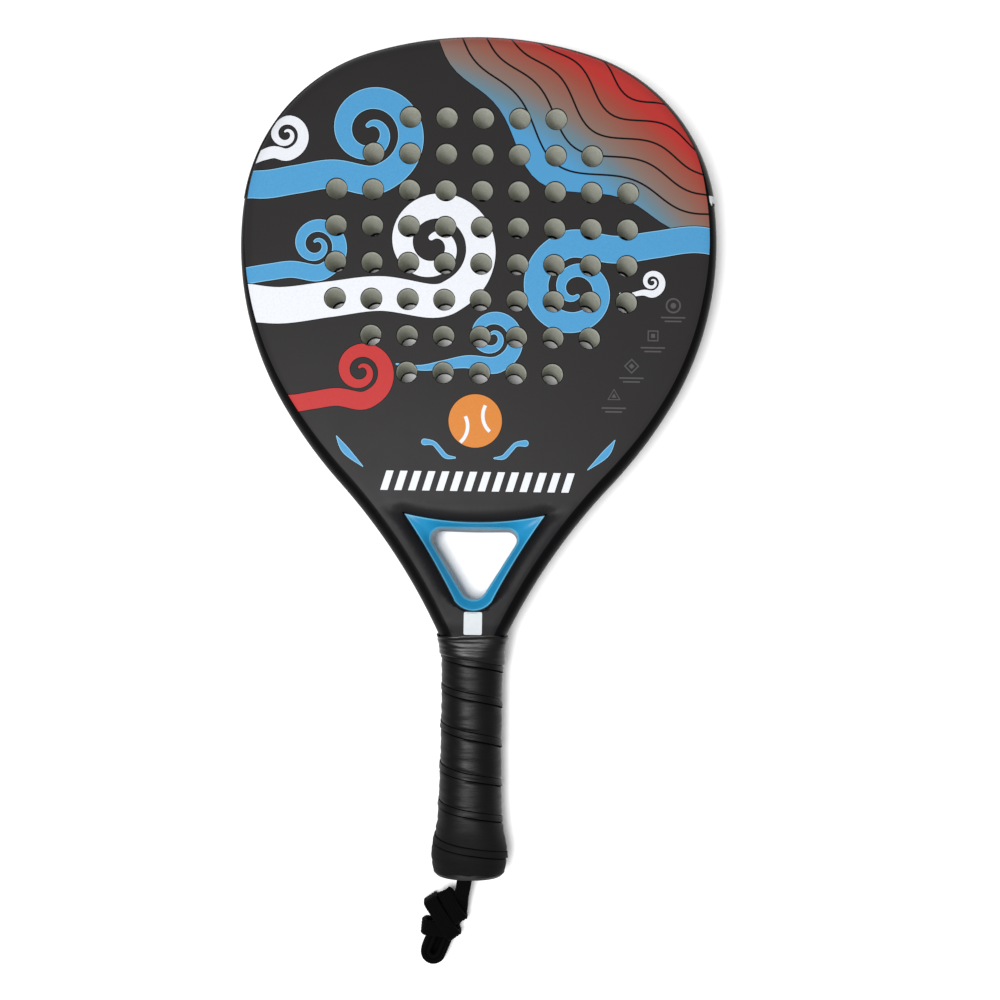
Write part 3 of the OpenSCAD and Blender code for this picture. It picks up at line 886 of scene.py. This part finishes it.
def along_line(start, end, sag, swing, waves, widths):
    """Stroke points from start to end, bowed by sag to the right of the way and waving by swing."""
    (x0, y0), (x1, y1) = start, end
    dist = math.hypot(x1 - x0, y1 - y0)
    nx, ny = (y1 - y0) / dist, (x0 - x1) / dist
    n = max(2, round(dist / 5))
    out = []
    for k in range(n + 1):
        t = k / n
        off = sag * math.sin(math.pi * t) + swing * math.sin(2 * math.pi * waves * t)
        width = float(np.interp(t, np.linspace(0, 1, len(widths)), widths))
        out.append((mix(x0, x1, t) + nx * off, mix(y0, y1, t) + ny * off, width))
    return out


# Each rolling wave of the print: colour, centre of its curl, radius, where its tail starts, width of
# the tail's start, and whether it rolls towards +X (1) or -X (-1) and curls up (1) or down (-1)
WAVES = [
    ("blue", (-59, 173), 26, -137, 15, 1, 1),
    ("white", (-104, 171), 11, -128, 6, 1, 1),
    ("blue", (-87, 112), 15, -138, 9, 1, 1),
    ("white", (-24, 113), 30, -136, 20, 1, 1),
    ("red", (-62, 45), 16, -112, 9, 1, 1),
    ("blue", (8, 64), 15, -43, 1, 1, 1),
    ("blue", (52, 90), 25, 137, 14, -1, -1),
    ("white", (93, 95), 6.5, 76, 1, 1, 1),
]
# Four faint signs at the right: middle, corners and turn of each ring of lines
SIGNS = [((104.6, 82.5), 28, 45), ((94.0, 66.2), 4, 45), ((82.8, 49.8), 4, 90), ((73.6, 33.6), 3, 90)]


def rolling_wave(centre, size, tail_x, tail_width, side, lift):
    """Stroke points of a wave that comes in from its tail and curls round a centre."""
    cx, cy = centre
    thick, thin, turn, left = 0.60, 0.10, 560, 0.14
    y = cy - lift * size
    points = []
    for k in range(4):
        t = k / 4
        points.append((mix(tail_x, cx, t), y - lift * 0.12 * size * math.sin(2 * math.pi * t),
                       mix(tail_width, thick * size, t)))
    n = 22
    for k in range(n + 1):
        t = k / n
        a = math.radians(turn * t - 90)
        r = size * (1 - (1 - left) * t ** 0.9)
        points.append((cx + side * r * math.cos(a), cy + lift * r * math.sin(a), size * mix(thick, thin, t)))
    return points


def artwork():
    """The generic print, back to front: (polygon, material name)."""
    out = []

    def shape(poly, name, line):
        """A polygon on an ink line of that width."""
        out.extend([(grown(poly, line), "ink"), (np.asarray(poly), name)])

    def brush(points, name, line=0.42, step=1.8):
        """A stroke with an ink line round it, and a pale rim if it is blue."""
        out.append((stroke(points, step, line), "ink"))
        out.append((stroke(points, step), "light_blue" if name == "blue" else name))
        if name == "blue":
            out.append((stroke(points, step, -0.4), name))

    # The faded field at the upper right, with contour lines that draw together towards its corner
    lines = 7
    for k in range(lines + 1):
        t = k / (lines + 0.4)
        start, end = (mix(-26, 66, t), 240), (138, mix(124, 198, t))
        curve = along_line(start, end, 36 * (1 - t), 6 - 3 * t, 2.5, [1.0])
        if k:
            out.append((stroke(curve, 3, ends=False), "ink"))
        else:
            shape(np.vstack([np.array(curve)[:, :2], [(150, 124), (150, 250), (-26, 250)]]), "fade", 0.42)

    for name, *wave in WAVES:
        brush(rolling_wave(*wave), name)

    # The round badge: a plain ball with its seam
    bx, by = -0.4, 19.2
    shape(circle(bx, by, 14.3, 56), "disc", 0.35)
    for side in (-1, 1):
        seam = arc_points(bx + side * 15.5, by + side * 3.0, 11.5, 90 + side * 138, 90 + side * 62, [1.9] * 7)
        out.append((stroke(seam, 1.4, ends=False), "white"))
    # Small waves under it, and slivers by the arms
    for side in (-1, 1):
        start, end = (side * 27 + bx, 7.6), (side * 10.5 + bx, -0.6)
        brush(along_line(start, end, 0, side * 1.6, 1, [3.6, 2.2, 3.0, 1.0]), "blue", 0.3, 1.2)
        brush([(side * 74.5, 10, 0.6), (side * 69.5, 2.5, 4), (side * 60.2, -6, 0.6)], "blue", 0.3, 1.4)

    def box(x, y, w, h, slant=0.0):
        """A slanted box of half width w and half height h."""
        return [(x - w - slant, y - h), (x + w - slant, y - h),
                (x + w + slant, y + h), (x - w + slant, y + h)]

    # A row of slanted bars
    bars, bar_step, bar_x, bar_y = 14, 7.45, 1.3, -13.2
    for k in range(bars):
        shape(box((k - (bars - 1) / 2) * bar_step + bar_x, bar_y, 1.95, 5.2, 1.6), "white", 0.45)

    # The signs, with two short bars under each
    for (x, y), corners, turn in SIGNS:
        for r, name in ((4.1, "icon"), (3.2, "charcoal"), (1.5, "icon")):
            turns = [math.radians(turn + 360 * k / corners) for k in range(corners)]
            out.append(([(x + r * math.cos(a), y + r * math.sin(a)) for a in turns], name))
        out.extend([(box(x, y - 6.4, 6.5, 0.4), "icon"), (box(x, y - 8.4, 4.5, 0.4), "icon")])
    return out


PRINTS = ["charcoal", "blue", "light_blue", "white", "red", "ink", "icon", "fade", "disc"]
ART = artwork()


def surface_normals(v):
    """Unit normals of the front surface at points of the plan, from its slopes."""
    h = 0.05
    zx = (height(v + (h, 0)) - height(v - (h, 0))) / (2 * h)
    zy = (height(v + (0, h)) - height(v - (0, h))) / (2 * h)
    return unit(np.column_stack([-zx, -zy, np.ones(len(v))]))


def make_film(name, front):
    """The printed film on one face, a thin closed sheet over the shell."""
    flip = 1 if front else -1
    art = [(np.asarray(p) * (flip, 1), m) for p, m in ART]
    top_edge = print_edge(0, flip)
    end = [(x, FILM_END) for x in np.linspace(top_edge[0][0], top_edge[-1][0], 9)]
    border = top_edge + end[1:-1][::-1]
    gap = throat_line(0.55)
    loops = [border, gap] + [throat_line(e) for e in THROAT_STEPS]
    loops += [circle(x, y, PRINT_R) for x, y in HOLES] + [p for p, _ in art]
    v, f = triangulate(loops, [print_edge(d, flip) for d in RIM_STEPS] + arm_points(-97),
                       lambda c: inside(border, c) & ~inside(gap, c) & off_holes(c, PRINT_R))
    centre = v[f].mean(1)
    index = np.zeros(len(f), np.int32)
    for poly, m in art:
        index[inside(poly, centre)] = PRINTS.index(m)
    z = height(v)
    base, up = np.column_stack([v, z]), surface_normals(v)
    n = len(v)
    faces, edges = plate(f, n)
    faces += [wall_face(p, q, n) for p, q in edges]
    if not front:
        faces = [tuple(reversed(t)) for t in faces]
    pts = np.vstack([base + up * FILM, base + up * FILM_UNDER]) * (1, 1, flip) + (0, 0, MID)
    mats = list(index) + [0] * len(f) + [PRINTS.index("ink")] * len(edges)
    obj = add_mesh(name, pts * MM, faces, [MAT[k] for k in PRINTS], mats)
    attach(obj, "racket")
    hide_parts("front_film" if front else "back_film")


make_film("front_print", True)
make_film("back_print", False)


# ---- throat lining ----

def make_lining():
    """The painted lining, which slopes from the frame to a narrow wall round the opening."""
    outer, hole = throat_line(-0.06), opening_line(0.0)
    both = [closed(outer), closed(hole)]
    top, low, lip, highlight_band = 12.5, 7.2, 0.5, 0.75
    lip_width, narrow = 0.9, 1.0
    rings = [throat_line(-highlight_band), opening_line(lip_width), opening_line(lip_width / 2)]
    v, f = triangulate([outer, hole] + rings, grid_points((-42, -84, 42.1, -28), 1.3, 1.2, outer, hole, both),
                       lambda c: inside(outer, c) & ~inside(hole, c))
    out_d, in_d = (distance_to([loop], v) for loop in both)
    t = out_d / np.maximum(out_d + in_d, 1e-6)
    z = mix(top, low, smooth(t) * 0.5 + t * 0.5) - lip * (1 - np.clip(in_d / lip_width, 0, 1)) ** 2
    # Painted highlight: a lighter blue along both edges
    centre_out, centre_in = (distance_to([loop], v[f].mean(1)) for loop in both)
    index = np.where((centre_out < highlight_band) | (centre_in < 0.85), 1, 0)
    n = len(v)
    faces, edges = plate(f, n)
    # The opening's wall narrows towards the mould's parting line, which sits a little off centre
    centre, shift = np.array([0, -54.0]), (0.75, -0.75)
    part, ring, wall = {}, [], []
    for p, _ in edges:
        if in_d[p] < 0.01:
            part[p] = 2 * n + len(ring)
            out = v[p] - centre
            ring.append((*(centre + out * (1 - narrow / np.linalg.norm(out)) + shift), MID))
    for p, q in edges:
        if p in part:
            faces += [(q, p, part[p], part[q]), (part[q], part[p], p + n, q + n)]
            wall += [2, 2]
        else:
            faces.append(wall_face(p, q, n))
            wall.append(0)
    pts = np.vstack([both_faces(v, z), ring])
    obj = add_mesh("throat_lining_painted", pts * MM, faces,
                   [MAT["throat"], MAT["throat_edge"], MAT["throat_wall"]], list(index) * 2 + wall)
    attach(obj, "racket")
    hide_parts("throat_lining")


make_lining()


# ---- rim tape ----

def make_tape():
    """Protective tape over the crown and shoulders, wrapped round the rim, with a torn right end."""
    n, thick, under, back = 170, 0.42, FILM + 0.03, math.radians(60)
    verts, faces, index = [], [], []
    for k in range(-n, n + 1):
        s, side = k / n, 1 if k >= 0 else -1
        u = abs(s) * 2
        i = min(int(u), 1)
        # It reaches further on to the front towards its torn end
        front = np.interp(s, [-1, 0.15, 0.55, 0.8, 1], [60, 58, 46, 35, 32]) + math.sin(9 * s)
        angles = [*np.linspace(math.radians(front), math.pi / 2, 8), *-np.linspace(math.pi / 2, back, 6)]
        ring = []
        for level in (thick, under):
            row = []
            for j, a in enumerate(angles):
                # The edges of the tape are pressed thin
                press = min(1.0, 0.35 + 0.4 * min(j, len(angles) - 1 - j))
                r = RIM_R + (under if level == under else mix(FILM + 0.08, thick, press))
                z = HEAD_HALF - RIM_R + r * math.cos(a)
                x, y, h = edge(i, u - i, RIM_R - r * math.sin(abs(a)))
                ragged = (0.9 if j % 2 else -0.6) + 0.8 * math.sin(j * 1.7) if k == n else 0.0
                x, y = x + math.cos(h) * ragged, y - math.sin(h) * ragged
                row.append((side * x, y, MID + (z if a > 0 else -z)))
            ring += row if level == thick else row[::-1]
        verts += ring
    m, spans = len(ring), 2 * n
    for r in range(spans):
        for j in range(m):
            q = (j + 1) % m
            faces.append((r * m + j, (r + 1) * m + j, (r + 1) * m + q, r * m + q))
            index.append(1 if r >= spans - 3 and j < 4 + spans - r else 0)
    faces += [tuple(range(m)), tuple(spans * m + j for j in range(m - 1, -1, -1))]
    index += [0, 1]
    obj = add_mesh("rim_protection_tape", np.array(verts) * MM, faces, [MAT["tape"], MAT["torn"]], index)
    clean(obj)
    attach(obj, "racket")
    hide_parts("rim_tape")


make_tape()


# ---- label on the yoke ----

def make_label():
    """The blank label on the yoke, pressed on to its surface, with small round corners."""
    w, top, low, nx, ny, corner = 4.9, -83.1, -95.4, 12, 14, 0.7
    middle = (top + low) / 2
    pts = []
    for b in range(ny + 1):
        for a in range(nx + 1):
            x, y = mix(-w, w, a / nx), mix(low, top, b / ny)
            cx, cy = max(0, abs(x) - (w - corner)), max(0, abs(y - middle) - ((top - low) / 2 - corner))
            r = math.hypot(cx, cy)
            if r > corner:
                x -= math.copysign(cx * (1 - corner / r), x)
                y -= math.copysign(cy * (1 - corner / r), y - middle)
            pts.append((x, y))
    n, row = len(pts), nx + 1
    z = MID + height(np.array(pts)) + FILM
    verts = [(x, y, h + lift) for lift in (0.16, 0.01) for (x, y), h in zip(pts, z)]
    quads = [(p, p + 1, p + row + 1, p + row) for b in range(ny) for p in range(b * row, b * row + nx)]
    faces, border = plate(quads, n)
    faces += [wall_face(p, q, n) for p, q in border]
    obj = add_mesh("yoke_label_sticker", np.array(verts) * MM, faces, [MAT["label"]])
    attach(obj, "racket")
    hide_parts("yoke_label")


make_label()


# ---- handle ----

GRIP_TOP, GRIP_END = -97.5, -226.6
# Heights of the lap lines at the middle of the front, one for each turn, from the top down
LAP_Y = [-91.0, -108.9, -126.7, -147.7, -170.3, -190.2, -209.6, -229.5]
# The grip's half width at distances down from the origin
GRIP_DOWN = [95, 104, 110, 121, 160, 175, 187, 197, 204, 209, 213, 217, 221, 224.5, 226.0, 226.6]
GRIP_HALF = [17.2, 17.2, 17.0, 16.6, 16.7, 17.0, 17.4, 17.7, 18.9, 20.1, 20.8, 20.9, 20.4, 19.8, 19.3, 18.4]


def section(phi, a, b, n):
    """Point of a rounded section at angle phi from the middle of the front, towards +X."""
    s, c = math.sin(phi), math.cos(phi)
    return (math.copysign(abs(s) ** (2 / n), s) * a, math.copysign(abs(c) ** (2 / n), c) * b)


def wobble(y, phi, scale, amount):
    """Smooth, repeatable unevenness over the handle."""
    return amount * (math.sin(scale * y + 2 * math.sin(phi * 2 + 0.3 * y)) * 0.5
                     + math.sin(scale * 2.3 * y + 1.7 + 3 * math.sin(phi + 0.11 * y)) * 0.3
                     + math.sin(scale * 4.1 * y + 4 * math.sin(phi + 1)) * 0.2)


def overgrip_mesh():
    """The wound overgrip: its rows follow the lap lines, and at the back each goes on as the next turn's."""
    cols = 120
    # Shares of a turn at which the rows lie, closest at the lap's edge and groove
    knots = [0, 0.010, 0.020, 0.032, 0.055, 0.09, 0.13, 0.168, 0.186, 0.194, 0.202, 0.210, 0.225, 0.25, 0.29,
             0.35, 0.42, 0.49, 0.56, 0.63, 0.70, 0.77, 0.84, 0.90, 0.95, 0.985]
    per_turn = len(knots)
    turns = len(LAP_Y) - 1

    def y_at(w):
        """Height at w turns."""
        k = min(max(int(math.floor(w)), 0), turns - 1)
        return mix(LAP_Y[k], LAP_Y[k + 1], w - k)

    def relief(f):
        """How far the surface stands out at share f of a turn: lap's edge, folded hem, groove, band."""
        if f < 0.032:
            return mix(-0.25, 0.25, smooth(f / 0.032))
        if f < 0.186:
            return mix(0.25, 0.42, smooth((f - 0.032) / 0.15))
        if f < 0.202:
            return mix(0.42, -0.45, (f - 0.186) / 0.016)
        return mix(-0.45, 0.0, smooth((f - 0.202) / 0.06)) - 0.25 * smooth((f - 0.93) / 0.07)

    # One more turn at each end than the handle shows, and the ends are pressed flat
    total = (turns + 2) * per_turn
    verts = []
    for row in range(total):
        w = row // per_turn - 1 + knots[row % per_turn]
        for c in range(cols):
            phi = -math.pi + 2 * math.pi * c / cols
            y = min(GRIP_TOP, max(GRIP_END, y_at(w + phi / (2 * math.pi))))
            a = np.interp(-y, GRIP_DOWN, GRIP_HALF)
            fade = smooth((y - GRIP_END) / 3) * smooth((GRIP_TOP - y) / 2)
            r = (relief(w - math.floor(w)) + wobble(y, phi, 0.55, 0.26)) * fade
            x, z = section(phi, a + r, a - 2 + r, 2.2)
            verts.append((x, y, MID + z))
    faces, index = [], []
    for row in range(total - 1):
        at = knots[row % per_turn]
        start = row * cols
        quads = [(p, p + 1, p + cols + 1, p + cols) for p in range(start, start + cols - 1)]
        p, q = start + cols - 1, start + per_turn * cols
        if q + cols < total * cols:
            quads.append((p, q, q + cols, p + cols))
        faces += quads
        # Painted shade: rows at the lap's edge and in its groove take the near-black material
        index += [1 if at < 0.02 or 0.18 < at < 0.224 else 0] * len(quads)
    return verts, faces, index


def make_grip():
    """The overgrip over the handle, with painted shade in the grooves of its laps."""
    verts, faces, index = overgrip_mesh()
    obj = add_mesh("overgrip_wound", np.array(verts) * MM, faces, [MAT["grip"], MAT["grip_lap"]], index, 50)
    clean(obj, 2e-6, close=True)
    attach(obj, "racket")
    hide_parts("overgrip")


make_grip()


def make_finish():
    """Tape that ends the overgrip and runs up on to the yoke, a closed band."""
    cols, rows, thick = 120, 26, 0.75
    verts = []
    # Rings down the outside, then up the inside
    for r, inner in [(r, False) for r in range(rows + 1)] + [(r, True) for r in range(rows, -1, -1)]:
        t = r / rows
        for c in range(cols):
            phi = -math.pi + 2 * math.pi * c / cols
            top = -96.3 + 0.5 * math.sin(3 * phi + 0.6) + 0.35 * math.sin(7 * phi)
            y = mix(top, -109.3 - 3.0 * math.sin(phi), t)
            # Half width, half thickness and squareness at that height
            a = np.interp(-y, [95.5, 97.5, 101, 105, 113], [19.55, 19.35, 18.7, 18.25, 17.95])
            b = np.interp(-y, [95.5, 98, 103, 113], [16.75, 16.7, 16.5, 16.0])
            n = np.interp(-y, [96, 104, 110], [4.6, 3.0, 2.3])
            lip = 0.35 * smooth(1 - t / 0.09) - 0.25 * smooth(1 - abs(t - 0.16) / 0.1)
            wave = wobble(y, phi, 0.8, 0.2) * smooth(t / 0.1) * smooth((1 - t) / 0.1)
            pressed = 0.25 * (smooth(1 - t / 0.03) + smooth(1 - (1 - t) / 0.04))
            grow = -thick if inner else lip + wave - pressed
            x, z = section(phi, a + grow, b + grow, n)
            verts.append((x, y, MID + z))
    faces = ring_faces(2 * (rows + 1), cols, shut=True)
    obj = add_mesh("finishing_tape_wrap", np.array(verts) * MM, faces, [MAT["finish"]], sharp=50)
    clean(obj)
    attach(obj, "racket")
    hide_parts("finishing_tape")


make_finish()

CAD_MATERIALS = {
    "foam_core": "eva", "frame_foam_filler": "filler", "bridge_foam_filler": "filler",
    "handle_foam": "filler", "handle_tube": "handle", "butt_cap": "cap", "cap_staples": "steel",
    "base_grip": "base_grip", "strap_knot": "strap",
}
for node, material in CAD_MATERIALS.items():
    data = NODES[node].data
    data.materials.clear()
    data.materials.append(MAT[material])


# ---- floor and light ----

def make_floor():
    """White paper, a tenth of a millimetre under the racket."""
    half, z = 3.0, -0.1 * MM
    corners = [(-half, -half, z), (half, -half, z), (half, half, z), (-half, half, z)]
    paper = Shader("floor_paper", (0.98, 0.98, 0.98), 0.95, specular=0.0)
    paper.bump(paper.noise(300, 3), 0.00005, 0.2)
    obj = add_mesh("floor", corners, [range(4)], [paper.mat])


def area_light(name, location, target, size, power):
    """A square light of that size, aimed at target."""
    data = bpy.data.lights.new(name, "AREA")
    data.size, data.energy = size, power
    obj = new_object(name, data)
    obj.location = location
    obj.rotation_euler = (Vector(target) - Vector(location)).to_track_quat("-Z", "Y").to_euler()


def make_light():
    """White surroundings and one key light, over the racket and a little to its left."""
    world = bpy.data.worlds.new("studio")
    world.use_nodes = True
    back = world.node_tree.nodes["Background"]
    back.inputs["Color"].default_value = (1, 1, 1, 1)
    back.inputs["Strength"].default_value = 0.5
    SCENE.world = world
    area_light("key", (-0.17, -0.16, 1.02), (-0.01, -0.03, 0), 0.34, 11.5)


make_floor()
make_light()
